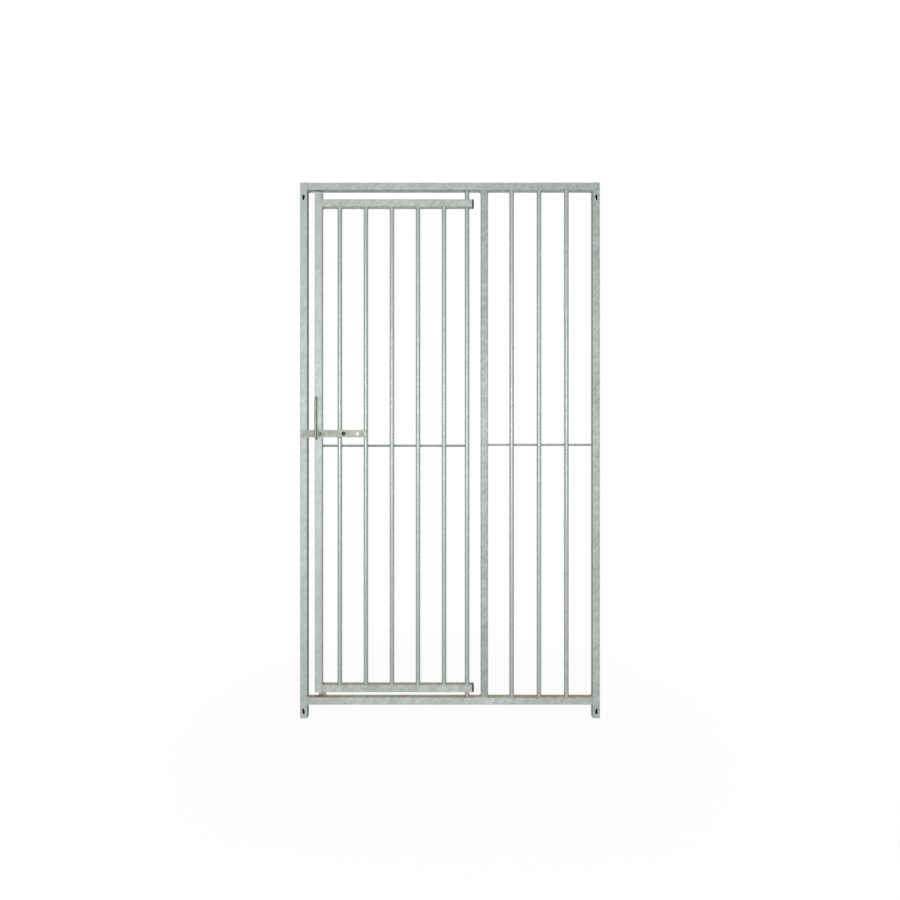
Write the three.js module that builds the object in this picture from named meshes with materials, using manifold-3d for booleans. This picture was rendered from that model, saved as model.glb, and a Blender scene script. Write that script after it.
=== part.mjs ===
// A kennel panel of galvanised steel: a square-tube frame with a fixed barred section on the right and a
// barred door on the left. The door turns on its own last bar, whose ends sit in the frame's rails, and a
// bar latch falls across the left post. Millimetres, +Z up; the front faces -Y.
// The origin is on the floor, at the middle of the panel's width and of its depth.

import * as THREE from "three";
import { mergeVertices, toCreasedNormals } from "three/addons/utils/BufferGeometryUtils.js";
import Module from "manifold-3d";

const wasm = await Module();
wasm.setup();

// ---- Driving dimensions ----

// Frame of square tube
const panelWidth = 1030;
const panelHeight = 1840;
const tubeSize = 25;
const tubeWall = 2;
const tubeCornerRadius = 3;
const legHeight = 46; // floor to the underside of the bottom rail
const doorwayWidth = 596; // clear width between the left post and the mullion

// Slots through the posts, where neighbouring panels are bolted on
const slotWidth = 8;
const slotLength = 19;
const lowerSlotHeight = 24;
const upperSlotDrop = 51.5; // top of the post down to the slot's middle

// Round bars and the rods that tie them together at the back
const barDiameter = 16;
const fixedBarPitch = 94.5;
const doorBarPitch = 90;
const firstDoorBarOffset = 72; // middle of the stile to the first bar
const crossRodDiameter = 8;
const fixedCrossRodHeight = 939;
const doorCrossRodHeight = 936;

// Door
const stileSideGap = 25; // left post to the stile
const stileTopGap = 7; // less than the hinge bar's reach into the top rail, so the door can't lift out
const doorBottomGap = 18;
const doorTopRailDrop = 32; // frame's top rail to the door's top rail
const hingeInset = 47; // hinge axis to the mullion
const railOverhang = 16.5; // hinge axis to the open ends of the door's rails
const hingeTopReach = 13; // hinge bar above the inside of the top rail's lower wall

// Plugs in the open ends of the door's rails
const plugHeadThickness = 6.5;
const plugHeadChamfer = 2;
const plugTipGap = 1.5; // tip of the plug's insert to the hinge bar

// Stop behind the door's free corner
const stopWidth = 25;
const stopThickness = 5;
const stopOffset = 34; // left post to the stop
const stopFootDrop = 20; // top of the bottom rail down to the stop's foot
const stopReach = 34; // top of the bottom rail up to the stop's tip

// Latch
const latchHeight = 977.5; // floor to the middle of the latch bar
const latchBarHeight = 25;
const latchBarThickness = 5;
const latchCornerRadius = 2;
const latchPivotInset = 26; // pivot to the second door bar
const latchTail = 18.5; // latch bar beyond the pivot
const latchPostInset = 2.5; // tip of the latch bar to the left post's outer face
const lockHoleDiameter = 12.5;
const lockHoleOffset = 48; // pivot to the lock hole
const knobDiameter = 12;
const knobLength = 24;
const knobChamfer = 1.5;
const knobOffset = 13; // staple to the knob

// Staple that guides the latch bar and carries it at rest
const stapleDiameter = 8;
const stapleBendRadius = 8; // to the middle of the rod
const stapleOffset = 6.5; // middle of the stile to the staple
const stapleClearHeight = 130; // inside, between its two legs
const stapleClearDepth = 7.5; // inside, stile's face to the rod

// Pivot bolt, washer and nut
const boltDiameter = 8;
const boltHeadDiameter = 14;
const boltHeadHeight = 5;
const washerDiameter = 18;
const washerThickness = 1.6;
const nutAcrossFlats = 13;
const nutThickness = 6.5;
const boltTailLength = 1.5; // thread past the nut

// Clearances
const fitGap = 0.3; // between pieces that are welded, pressed or screwed together
const runningGap = 0.5; // around the hinge bar and the pivot bolt, which their neighbours turn on

// Roundness of curved surfaces, as sides of a full circle
const barSides = 32;
const rodSides = 16;
const slotEndSides = 16;
const cornerSides = 16;
const domeRings = 6;
const stapleSteps = 56;

// ---- Places worked out from the dimensions ----

const half = tubeSize / 2;
const barRadius = barDiameter / 2;
const rodRadius = crossRodDiameter / 2;
const stapleRadius = stapleDiameter / 2;

const postX = panelWidth / 2 - half; // middle of either post
const postInnerX = panelWidth / 2 - tubeSize;
const topRailZ = panelHeight - half;
const topRailUnderside = panelHeight - tubeSize;
const bottomRailZ = legHeight + half;
const bottomRailTop = legHeight + tubeSize;
const mullionFaceX = -postInnerX + doorwayWidth;
const mullionX = mullionFaceX + half;
const fixedBarCount = Math.round((postX - mullionX) / fixedBarPitch) - 1;

const hingeX = mullionFaceX - hingeInset;
const stileX = -postInnerX + stileSideGap + half;
const stileInnerX = stileX + half;
const doorBottom = bottomRailTop + doorBottomGap;
const doorTopRailTop = topRailUnderside - doorTopRailDrop;
const doorBarLength = doorTopRailTop - doorBottom - 2 * tubeSize;
const doorRailLength = hingeX + railOverhang - stileInnerX;
const firstDoorBarX = stileX + firstDoorBarOffset;
const doorBarCount = Math.round((hingeX - firstDoorBarX) / doorBarPitch);
const crossRodY = barRadius + fitGap + rodRadius;
const plugInsertLength = railOverhang + fitGap - barRadius - plugTipGap;

const latchBackY = -half - fitGap;
const latchFrontY = latchBackY - latchBarThickness;
const secondBarX = firstDoorBarX + doorBarPitch;
const latchPivotX = secondBarX - latchPivotInset;
const latchTipX = -panelWidth / 2 + latchPostInset;
const backPlateY = -barRadius - fitGap;
const backPlateThickness = half - barRadius - fitGap;
const stapleX = stileX - stapleOffset;
const stapleRodY = -half - stapleClearDepth - stapleRadius;
const stapleLowerZ = latchHeight - latchBarHeight / 2 - fitGap - stapleRadius;
const stapleUpperZ = stapleLowerZ + stapleClearHeight + stapleDiameter;
const knobX = stapleX + knobOffset;
const headBackY = latchFrontY - washerThickness - 2 * fitGap;
const nutFrontY = backPlateY + fitGap;

// The knob reaches furthest forward and the stop furthest back; the origin is midway between the two.
const frontReach = -latchFrontY + fitGap + knobLength;
const backReach = half + fitGap + stopThickness;
const frameY = (frontReach - backReach) / 2;

// ---- Materials ----

const galvanisedSteel = { color: 0xb9beb6, roughness: 0.55, metalness: 0.75 };
const platedSteel = { color: 0xd8d8cf, roughness: 0.35, metalness: 0.9 };
const blackPlastic = { color: 0x1b1d1f, roughness: 0.6, metalness: 0 };

// ---- Helpers ----

function solidOf(geometry) {
  const bare = geometry.clone();
  bare.deleteAttribute("normal");
  bare.deleteAttribute("uv");
  const merged = mergeVertices(bare, 1e-4);
  return new wasm.Manifold(
    new wasm.Mesh({
      numProp: 3,
      vertProperties: merged.attributes.position.array,
      triVerts: Uint32Array.from(merged.index.array),
    }),
  );
}

function geometryOf(solid) {
  const mesh = solid.getMesh();
  const geometry = new THREE.BufferGeometry();
  geometry.setAttribute("position", new THREE.BufferAttribute(mesh.vertProperties, 3));
  geometry.setIndex(new THREE.BufferAttribute(mesh.triVerts, 1));
  return toCreasedNormals(geometry, Math.PI / 6);
}

function cut(geometry, tools) {
  let solid = solidOf(geometry);
  for (const tool of tools) {
    solid = solid.subtract(solidOf(tool));
  }
  return geometryOf(solid);
}

function placed(name, geometry, look, x = 0, y = 0, z = 0) {
  const piece = new THREE.Mesh(geometry, new THREE.MeshStandardMaterial(look));
  piece.name = name;
  piece.position.set(x, y, z);
  return piece;
}

// Outline with round corners; Kind is THREE.Shape, or THREE.Path for a hole.
function roundedRectangle(Kind, left, right, bottom, top, radius) {
  const corners = [
    [right - radius, top - radius],
    [left + radius, top - radius],
    [left + radius, bottom + radius],
    [right - radius, bottom + radius],
  ];
  const steps = cornerSides / 4;
  const points = corners.flatMap(([x, y], quarter) =>
    Array.from({ length: steps + 1 }, (_, i) => {
      const angle = (quarter + i / steps) * (Math.PI / 2);
      return new THREE.Vector2(x + radius * Math.cos(angle), y + radius * Math.sin(angle));
    }),
  );
  return new Kind(points);
}

function roundedSquare(Kind, size, radius) {
  return roundedRectangle(Kind, -size / 2, size / 2, -size / 2, size / 2, radius);
}

function circle(Kind, x, y, diameter) {
  return new Kind().absarc(x, y, diameter / 2, 0, 2 * Math.PI);
}

// Straight prism from z = 0 up to its depth. Arcs in the outline get the given sides per full circle.
function extruded(outline, depth, sides = barSides) {
  return new THREE.ExtrudeGeometry(outline, {
    depth,
    bevelEnabled: false,
    curveSegments: sides / 2,
  });
}

// Square tube from z = 0 up to its length, open at both ends.
function tube(length) {
  const section = roundedSquare(THREE.Shape, tubeSize, tubeCornerRadius);
  section.holes.push(roundedSquare(THREE.Path, tubeSize - 2 * tubeWall, tubeCornerRadius - tubeWall));
  return extruded(section, length);
}

// Square tube along +X from x = 0, open at both ends.
function tubeAlongX(length) {
  return tube(length).rotateY(Math.PI / 2);
}

// Round bar from z = 0 up to its length.
function roundBar(diameter, length, sides = barSides) {
  const bar = new THREE.CylinderGeometry(diameter / 2, diameter / 2, length, sides);
  return bar.rotateX(Math.PI / 2).translate(0, 0, length / 2);
}

// Round rod along +X from x = 0.
function rodAlongX(diameter, length) {
  return roundBar(diameter, length, rodSides).rotateY(Math.PI / 2);
}

// Prism that cuts an upright slot, centred on the given height, right through a post along Y.
function slotAlongY(height) {
  const straight = (slotLength - slotWidth) / 2;
  const outline = new THREE.Shape();
  outline.absarc(0, straight, slotWidth / 2, 0, Math.PI);
  outline.absarc(0, -straight, slotWidth / 2, Math.PI, 2 * Math.PI);
  outline.closePath();
  const prism = extruded(outline, 2 * tubeSize, slotEndSides / 2);
  return prism.translate(0, 0, -tubeSize).rotateX(Math.PI / 2).translate(0, 0, height);
}

function slotAlongX(height) {
  return slotAlongY(height).rotateZ(Math.PI / 2);
}

// Flat bar in the XZ plane, its outline drawn as x and z, its thickness running from y = 0 to -thickness.
function flatBar(outline, thickness) {
  return extruded(outline, thickness).rotateX(Math.PI / 2);
}

function rectangle(left, right, bottom, top) {
  return new THREE.Shape([
    new THREE.Vector2(left, bottom),
    new THREE.Vector2(right, bottom),
    new THREE.Vector2(right, top),
    new THREE.Vector2(left, top),
  ]);
}

// ---- Frame ----

function post(name, x) {
  const slots = [lowerSlotHeight, panelHeight - upperSlotDrop].flatMap((height) => [
    slotAlongY(height),
    slotAlongX(height),
  ]);
  return placed(name, cut(tube(panelHeight), slots), galvanisedSteel, x);
}

// Frame rail with the hinge bar's hole in one wall: facing is 1 for the upper wall, -1 for the lower.
function frameRail(name, z, facing) {
  const drill = roundBar(barDiameter + 2 * runningGap, tubeSize);
  drill.translate(postInnerX + hingeX, 0, facing > 0 ? 0 : -tubeSize);
  return placed(name, cut(tubeAlongX(2 * postInnerX), [drill]), galvanisedSteel, -postInnerX, 0, z);
}

function fixedBars() {
  const length = topRailUnderside - bottomRailTop;
  const bars = [];
  for (let i = 1; i <= fixedBarCount; i++) {
    const bar = roundBar(barDiameter, length);
    bars.push(placed(`fixed_bar_${i}`, bar, galvanisedSteel, mullionX + i * fixedBarPitch, 0, bottomRailTop));
  }
  return bars;
}

function fixedCrossRod() {
  const start = mullionX + half;
  const rod = rodAlongX(crossRodDiameter, postInnerX - start);
  return placed("fixed_cross_rod", rod, galvanisedSteel, start, crossRodY, fixedCrossRodHeight);
}

// Flat bar welded to the back of the bottom rail; the shut door's bottom rail lies against it.
function doorStop() {
  const outline = rectangle(0, stopWidth, -stopFootDrop, stopReach);
  const bar = flatBar(outline, stopThickness);
  return placed("door_stop", bar, galvanisedSteel, -postInnerX + stopOffset, backReach, bottomRailTop);
}

function frame() {
  const group = new THREE.Group();
  const mullion = tube(topRailUnderside - bottomRailTop);
  group.add(
    post("left_post", -postX),
    post("right_post", postX),
    frameRail("top_rail", topRailZ, -1),
    frameRail("bottom_rail", bottomRailZ, 1),
    placed("mullion", mullion, galvanisedSteel, mullionX, 0, bottomRailTop),
    ...fixedBars(),
    fixedCrossRod(),
    doorStop(),
  );
  return group;
}

// ---- Door, in a group whose origin is on the hinge axis ----

function fromHinge(x) {
  return x - hingeX;
}

function doorStile() {
  const stile = tube(topRailUnderside - stileTopGap - doorBottom);
  return placed("door_stile", stile, galvanisedSteel, fromHinge(stileX), 0, doorBottom);
}

function doorRail(name, z) {
  const drill = roundBar(barDiameter + 2 * fitGap, 2 * tubeSize);
  drill.translate(hingeX - stileInnerX, 0, -tubeSize);
  const rail = cut(tubeAlongX(doorRailLength), [drill]);
  return placed(name, rail, galvanisedSteel, fromHinge(stileInnerX), 0, z);
}

function doorBars() {
  const bars = [];
  for (let i = 0; i < doorBarCount; i++) {
    const x = fromHinge(firstDoorBarX + i * doorBarPitch);
    const bar = roundBar(barDiameter, doorBarLength);
    bars.push(placed(`door_bar_${i + 1}`, bar, galvanisedSteel, x, 0, doorBottom + tubeSize));
  }
  return bars;
}

// The door's last bar stands on the inside of the bottom rail and turns in the holes of both frame rails.
function hingeBar() {
  const foot = legHeight + tubeWall + fitGap;
  const top = topRailUnderside + tubeWall + hingeTopReach;
  return placed("hinge_bar", roundBar(barDiameter, top - foot), galvanisedSteel, 0, 0, foot);
}

function doorCrossRod() {
  const start = fromHinge(stileInnerX);
  const rod = rodAlongX(crossRodDiameter, rodRadius - start);
  return placed("door_cross_rod", rod, galvanisedSteel, start, crossRodY, doorCrossRodHeight);
}

// Plug along +X: a chamfered head outside the rail and a square insert inside it.
function railPlug(name, z) {
  const head = new THREE.ExtrudeGeometry(roundedSquare(THREE.Shape, tubeSize, tubeCornerRadius), {
    depth: plugHeadThickness,
    bevelThickness: plugHeadChamfer,
    bevelSize: plugHeadChamfer,
    bevelOffset: -plugHeadChamfer,
    bevelSegments: 1,
  });
  head.translate(0, 0, -plugHeadChamfer).rotateY(Math.PI / 2);
  const backBevel = new THREE.BoxGeometry(tubeSize, 2 * tubeSize, 2 * tubeSize);
  backBevel.translate(-tubeSize / 2, 0, 0);
  const insertSize = tubeSize - 2 * (tubeWall + fitGap);
  const insert = new THREE.BoxGeometry(plugInsertLength + plugHeadChamfer, insertSize, insertSize);
  insert.translate((plugHeadChamfer - plugInsertLength) / 2, 0, 0);
  const plug = solidOf(head).subtract(solidOf(backBevel)).add(solidOf(insert));
  return placed(name, geometryOf(plug), blackPlastic, railOverhang + fitGap, 0, z);
}

// Plate behind the latch bar, from the stile across the first bar to the middle of the second.
function latchBackPlate() {
  const outline = rectangle(0, secondBarX - stileInnerX, -latchBarHeight / 2, latchBarHeight / 2);
  outline.holes.push(circle(THREE.Path, latchPivotX - stileInnerX, 0, boltDiameter + 2 * fitGap));
  const plate = flatBar(outline, backPlateThickness);
  return placed("latch_back_plate", plate, galvanisedSteel, fromHinge(stileInnerX), backPlateY, latchHeight);
}

// Round rod bent twice: out of the stile, down in front of the latch bar and back into the stile.
function latchStaple() {
  const wallY = -half - fitGap;
  const bendY = stapleRodY + stapleBendRadius;
  const bendTopZ = stapleUpperZ - stapleBendRadius;
  const bendBottomZ = stapleLowerZ + stapleBendRadius;
  const point = (y, z) => new THREE.Vector3(0, y, z);
  const straight = (from, to) => new THREE.LineCurve3(from, to);
  const bend = (from, corner, to) => new THREE.QuadraticBezierCurve3(from, corner, to);
  const path = new THREE.CurvePath();
  path.add(straight(point(wallY, stapleUpperZ), point(bendY, stapleUpperZ)));
  path.add(bend(point(bendY, stapleUpperZ), point(stapleRodY, stapleUpperZ), point(stapleRodY, bendTopZ)));
  path.add(straight(point(stapleRodY, bendTopZ), point(stapleRodY, bendBottomZ)));
  path.add(bend(point(stapleRodY, bendBottomZ), point(stapleRodY, stapleLowerZ), point(bendY, stapleLowerZ)));
  path.add(straight(point(bendY, stapleLowerZ), point(wallY, stapleLowerZ)));
  const rod = new THREE.ExtrudeGeometry(circle(THREE.Shape, 0, 0, stapleDiameter), {
    steps: stapleSteps,
    extrudePath: path,
    curveSegments: rodSides / 2,
  });
  return placed("latch_staple", rod, galvanisedSteel, fromHinge(stapleX));
}

// The bolt, washer and nut lie along Y through the latch bar and its back plate.
function pivotBolt() {
  const shankEnd = headBackY - (nutFrontY + nutThickness + boltTailLength);
  const headRadius = boltHeadDiameter / 2;
  const profile = [
    new THREE.Vector2(0, shankEnd),
    new THREE.Vector2(boltDiameter / 2, shankEnd),
    new THREE.Vector2(boltDiameter / 2, 0),
  ];
  for (let i = 0; i < domeRings; i++) {
    const angle = (i / domeRings) * (Math.PI / 2);
    profile.push(new THREE.Vector2(headRadius * Math.cos(angle), boltHeadHeight * Math.sin(angle)));
  }
  profile.push(new THREE.Vector2(0, boltHeadHeight));
  const bolt = new THREE.LatheGeometry(profile, barSides).rotateX(Math.PI);
  return placed("latch_pivot_bolt", bolt, platedSteel, fromHinge(latchPivotX), headBackY, latchHeight);
}

function pivotWasher() {
  const ring = circle(THREE.Shape, 0, 0, washerDiameter);
  ring.holes.push(circle(THREE.Path, 0, 0, boltDiameter + 2 * fitGap));
  const disc = flatBar(ring, washerThickness);
  return placed("latch_washer", disc, platedSteel, fromHinge(latchPivotX), latchFrontY - fitGap, latchHeight);
}

function pivotNut() {
  const hexagon = circle(THREE.Shape, 0, 0, nutAcrossFlats / Math.cos(Math.PI / 6)).getPoints(3);
  const outline = new THREE.Shape(hexagon);
  outline.holes.push(circle(THREE.Path, 0, 0, boltDiameter + 2 * fitGap));
  const nut = flatBar(outline, nutThickness);
  return placed("latch_nut", nut, platedSteel, fromHinge(latchPivotX), nutFrontY + nutThickness, latchHeight);
}

// ---- Latch, in a group whose origin is on the pivot's axis ----

function latchBar() {
  const top = latchBarHeight / 2;
  const left = latchTipX - latchPivotX;
  const outline = roundedRectangle(THREE.Shape, left, latchTail, -top, top, latchCornerRadius);
  outline.holes.push(circle(THREE.Path, 0, 0, boltDiameter + 2 * runningGap));
  outline.holes.push(circle(THREE.Path, -lockHoleOffset, 0, lockHoleDiameter));
  return placed("latch_bar", flatBar(outline, latchBarThickness), galvanisedSteel, 0, latchBackY);
}

// Round peg that a hand lifts the latch by.
function latchKnob() {
  const radius = knobDiameter / 2;
  const profile = [
    new THREE.Vector2(0, 0),
    new THREE.Vector2(radius, 0),
    new THREE.Vector2(radius, knobLength - knobChamfer),
    new THREE.Vector2(radius - knobChamfer, knobLength),
    new THREE.Vector2(0, knobLength),
  ];
  const peg = new THREE.LatheGeometry(profile, barSides).rotateX(Math.PI);
  return placed("latch_knob", peg, galvanisedSteel, knobX - latchPivotX, latchFrontY - fitGap);
}

function latch() {
  const group = new THREE.Group();
  group.position.set(fromHinge(latchPivotX), 0, latchHeight);
  group.add(latchBar(), latchKnob());
  return group;
}

function door() {
  const group = new THREE.Group();
  group.position.x = hingeX;
  const bottomRailMiddle = doorBottom + half;
  const topRailMiddle = doorTopRailTop - half;
  group.add(
    doorStile(),
    doorRail("door_top_rail", topRailMiddle),
    doorRail("door_bottom_rail", bottomRailMiddle),
    ...doorBars(),
    hingeBar(),
    doorCrossRod(),
    railPlug("top_rail_plug", topRailMiddle),
    railPlug("bottom_rail_plug", bottomRailMiddle),
    latchBackPlate(),
    latchStaple(),
    pivotBolt(),
    pivotWasher(),
    pivotNut(),
    latch(),
  );
  return group;
}

const panel = new THREE.Group();
panel.position.y = frameY;
panel.add(frame(), door());

export default panel;
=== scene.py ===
"""A kennel panel of hot-dip galvanised steel: a square-tube frame, round bars, a barred door and a bar latch.

Metres, +Z up; the front faces -Y. The origin is on the floor, at the middle of the panel's width and depth.
"""

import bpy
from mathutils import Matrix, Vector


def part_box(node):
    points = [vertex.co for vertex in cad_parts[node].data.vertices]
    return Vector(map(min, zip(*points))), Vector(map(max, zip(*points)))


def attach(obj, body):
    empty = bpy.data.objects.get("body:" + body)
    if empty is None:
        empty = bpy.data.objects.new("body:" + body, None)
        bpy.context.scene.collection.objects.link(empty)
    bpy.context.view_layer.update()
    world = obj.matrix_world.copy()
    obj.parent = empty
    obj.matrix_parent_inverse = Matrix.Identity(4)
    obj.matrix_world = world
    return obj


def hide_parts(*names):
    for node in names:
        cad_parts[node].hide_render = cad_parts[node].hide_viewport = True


bl_info = {
    "name": "Barred kennel panel",
    "version": (1, 0, 0),
    "blender": (4, 5, 0),
    "location": "3D View > Sidebar > Kennel panel",
    "description": "Dresses a galvanised kennel panel with its round bars, welds, latch and zinc finish",
    "category": "Object",
}

from math import cos, pi, radians, sin

import bmesh
import bpy
from bpy.props import FloatProperty, FloatVectorProperty, IntProperty, PointerProperty
from bpy.types import Operator, Panel, PropertyGroup
from mathutils import Vector

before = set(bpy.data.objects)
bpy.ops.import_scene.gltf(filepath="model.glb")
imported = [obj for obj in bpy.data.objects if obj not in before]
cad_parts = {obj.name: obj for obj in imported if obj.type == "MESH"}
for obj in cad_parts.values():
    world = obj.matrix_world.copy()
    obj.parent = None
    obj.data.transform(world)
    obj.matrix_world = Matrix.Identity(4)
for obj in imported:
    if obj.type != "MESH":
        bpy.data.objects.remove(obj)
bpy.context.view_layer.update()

FRAME_TUBES = ("left_post", "right_post", "top_rail", "bottom_rail", "mullion")
DOOR_TUBES = ("door_stile", "door_top_rail", "door_bottom_rail")
FIXED_BARS = ("fixed_bar_1", "fixed_bar_2", "fixed_bar_3")
DOOR_BARS = ("door_bar_1", "door_bar_2", "door_bar_3", "door_bar_4", "door_bar_5")
PLUGS = ("top_rail_plug", "bottom_rail_plug")

# Weld runs, in metres. The sizes that the long ones share are in the settings.
SEAM_INSET = 0.001  # a run stops this far short of its tube's corner
ROD_COLLAR_REACH = 0.0035
ROD_COLLAR_RADIUS = 0.0013
STAPLE_COLLAR_RADIUS = 0.0015
STOP_TOP_RADIUS = 0.0030
STOP_SIDE_RADIUS = 0.0026
STOP_FOOT_INSET = 0.004
PLATE_LEFT_RADIUS = 0.0026
PLATE_LEFT_DEPTH = 0.0012  # from the plate's front
PLATE_RIGHT_RADIUS = 0.0029
PLATE_RIGHT_DEPTH = 0.0020
PLATE_RIGHT_GAP = 0.0002
PLATE_INSET = 0.003  # from the plate's top and bottom edges

RUN_STEP = 0.0004  # from one ring of a run's mesh to the next
RUN_SIDES = 14
RIPPLE_DEPTH = 0.22  # share of a run's radius

# Tacks, in metres
CROSSING_OFFSET = Vector((0.0036, 0.0, -0.0030))  # from the middle of a crossing to its lower tack
CROSSING_TACK = (0.0034, 0.0026)  # half width and half depth
PLATE_TACK = (0.0044, 0.0028)
TACK_LUMP = 0.0012

# Pivot bolt, in metres
BOLT_RADIUS = 0.004
BOLT_TIP_RADIUS = 0.0034
THREAD_ROOT_RADIUS = 0.00335
THREAD_PITCH = 0.00125
HEAD_RIM = 0.0008
HEAD_STEPS = 14

LOCK_HOLE_OFFSET = 0.048  # latch pivot to the lock hole

FLOOR_REACH = 9.0  # from the panel to the floor's edges
FLOOR_HEIGHT = -0.0002  # a hair below the feet
WHITE = (1.0, 1.0, 1.0, 1.0)


# ---- Sizes and colours ----


class KENNELPANEL_PG_zinc(PropertyGroup):
    """The zinc coat."""

    light: FloatVectorProperty(
        name="Light zinc",
        description="Colour of the paler clouds in the zinc",
        subtype="COLOR",
        min=0.0,
        max=1.0,
        default=(0.415, 0.446, 0.428),
    )
    dark: FloatVectorProperty(
        name="Dark zinc",
        description="Colour of the greyer blotches in the zinc",
        subtype="COLOR",
        min=0.0,
        max=1.0,
        default=(0.318, 0.356, 0.345),
    )
    bloom: FloatVectorProperty(
        name="White bloom",
        description="Colour of the chalky patches on weathered zinc",
        subtype="COLOR",
        min=0.0,
        max=1.0,
        default=(0.540, 0.570, 0.565),
    )
    # Brown of a painted floor reflection on upward faces near the floor, laid like matte dust.
    dust_and_reflection: FloatVectorProperty(
        name="Dust",
        description="Colour of the brown dust that lies on upward faces near the floor",
        subtype="COLOR",
        min=0.0,
        max=1.0,
        default=(0.400, 0.300, 0.195),
    )
    roughness: FloatProperty(
        name="Roughness",
        description="Roughness of the clean zinc",
        subtype="FACTOR",
        min=0.0,
        max=1.0,
        default=0.47,
    )
    metal: FloatProperty(
        name="Metal",
        description="How metallic the clean zinc looks",
        subtype="FACTOR",
        min=0.0,
        max=1.0,
        default=0.20,
    )
    blotch: FloatProperty(
        name="Blotch size", description="Width of a blotch", unit="LENGTH", min=0.002, default=0.016
    )
    spangle: FloatProperty(
        name="Spangle size", description="Width of a zinc crystal", unit="LENGTH", min=0.001, default=0.009
    )


class KENNELPANEL_PG_tubes(PropertyGroup):
    """Square tubes, flats and plugs."""

    edge: FloatProperty(
        name="Cut edge", description="Rounding of a cut edge", unit="LENGTH", min=0.0, default=0.00035
    )
    plug_edge: FloatProperty(
        name="Plug edge", description="Rounding of a plug's edges", unit="LENGTH", min=0.0, default=0.0006
    )


class KENNELPANEL_PG_bars(PropertyGroup):
    """Round bars and cross rods."""

    sides: IntProperty(name="Sides", description="Sides round a bar", min=8, max=96, default=40)
    rings: IntProperty(name="Rings", description="Rings along a bar", min=6, max=96, default=34)
    flare: FloatProperty(
        name="Flare", description="How far zinc swells a bar's end", unit="LENGTH", min=0.0, default=0.0009
    )
    flare_height: FloatProperty(
        name="Flare height",
        description="Length of a bar's swollen end",
        unit="LENGTH",
        min=0.0,
        default=0.009,
    )


class KENNELPANEL_PG_welds(PropertyGroup):
    """Weld runs."""

    bead: FloatProperty(
        name="Seam radius", description="Radius of a run across flush faces", unit="LENGTH", default=0.0024
    )
    proud: FloatProperty(
        name="Seam height", description="How far such a run stands proud", unit="LENGTH", default=0.0008
    )
    fillet: FloatProperty(
        name="Corner radius", description="Radius of a run in a corner", unit="LENGTH", default=0.0031
    )
    collar: FloatProperty(
        name="Collar radius", description="Radius of the run round a bar's end", unit="LENGTH", default=0.0021
    )
    ripple: FloatProperty(
        name="Ripple", description="Distance from one ripple to the next", unit="LENGTH", default=0.0019
    )
    lump: FloatProperty(
        name="Lump", description="How uneven a run is", unit="LENGTH", default=0.0009
    )


class KENNELPANEL_PG_studio(PropertyGroup):
    """Camera and lights."""

    distance: FloatProperty(
        name="Camera distance",
        description="From the camera to the middle of the panel's depth",
        unit="LENGTH",
        default=1.85,
    )
    eye: FloatProperty(
        name="Eye height", description="Height of the camera above the floor", unit="LENGTH", default=0.9212
    )
    view: FloatProperty(
        name="View width",
        description="Width that the picture takes in at the middle of the panel's depth",
        unit="LENGTH",
        default=3.090,
    )
    key: FloatProperty(
        name="Key", description="Power of the soft light by the camera", unit="POWER", default=71.0
    )
    top: FloatProperty(name="Top", description="Power of the soft light above", unit="POWER", default=17.0)
    low: FloatProperty(
        name="Low", description="Power of the soft light near the floor", unit="POWER", default=10.0
    )
    back: FloatProperty(name="Back", description="Power of the soft light behind", unit="POWER", default=62.0)
    sky: FloatProperty(name="Sky", description="Strength of the even light all round", default=0.13)


class KENNELPANEL_PG_settings(PropertyGroup):
    """Everything about the panel that can be changed."""

    zinc: PointerProperty(type=KENNELPANEL_PG_zinc)
    tubes: PointerProperty(type=KENNELPANEL_PG_tubes)
    bars: PointerProperty(type=KENNELPANEL_PG_bars)
    welds: PointerProperty(type=KENNELPANEL_PG_welds)
    studio: PointerProperty(type=KENNELPANEL_PG_studio)


# ---- Wiring of nodes ----


class Wire:
    """What leaves a socket. Arithmetic on it adds Math nodes to its tree."""

    def __init__(self, board, socket):
        self.board = board
        self.socket = socket

    def maths(self, operation, *values):
        sockets = dict(enumerate(values))
        return self.board.node("ShaderNodeMath", {"operation": operation}, sockets)[0]

    def __add__(self, other):
        return self.maths("ADD", self, other)

    def __radd__(self, other):
        return self.maths("ADD", other, self)

    def __sub__(self, other):
        return self.maths("SUBTRACT", self, other)

    def __rsub__(self, other):
        return self.maths("SUBTRACT", other, self)

    def __mul__(self, other):
        return self.maths("MULTIPLY", self, other)

    def __rmul__(self, other):
        return self.maths("MULTIPLY", other, self)

    def __truediv__(self, other):
        return self.maths("DIVIDE", self, other)

    def __rtruediv__(self, other):
        return self.maths("DIVIDE", other, self)

    def __pow__(self, other):
        return self.maths("POWER", self, other)

    def __abs__(self):
        return self.maths("ABSOLUTE", self)

    def least(self, other):
        return self.maths("MINIMUM", self, other)

    def most(self, other):
        return self.maths("MAXIMUM", self, other)

    def eased(self, low, high):
        """0 below low and 1 above high, with a smooth step between."""
        sockets = {"Value": self, "From Min": low, "From Max": high}
        return self.board.node("ShaderNodeMapRange", {"interpolation_type": "SMOOTHSTEP"}, sockets)[0]


class Outlets:
    """A node's outputs, by name or number."""

    def __init__(self, board, node):
        self.board = board
        self.node = node

    def __getitem__(self, key):
        return Wire(self.board, self.node.outputs[key])


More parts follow.
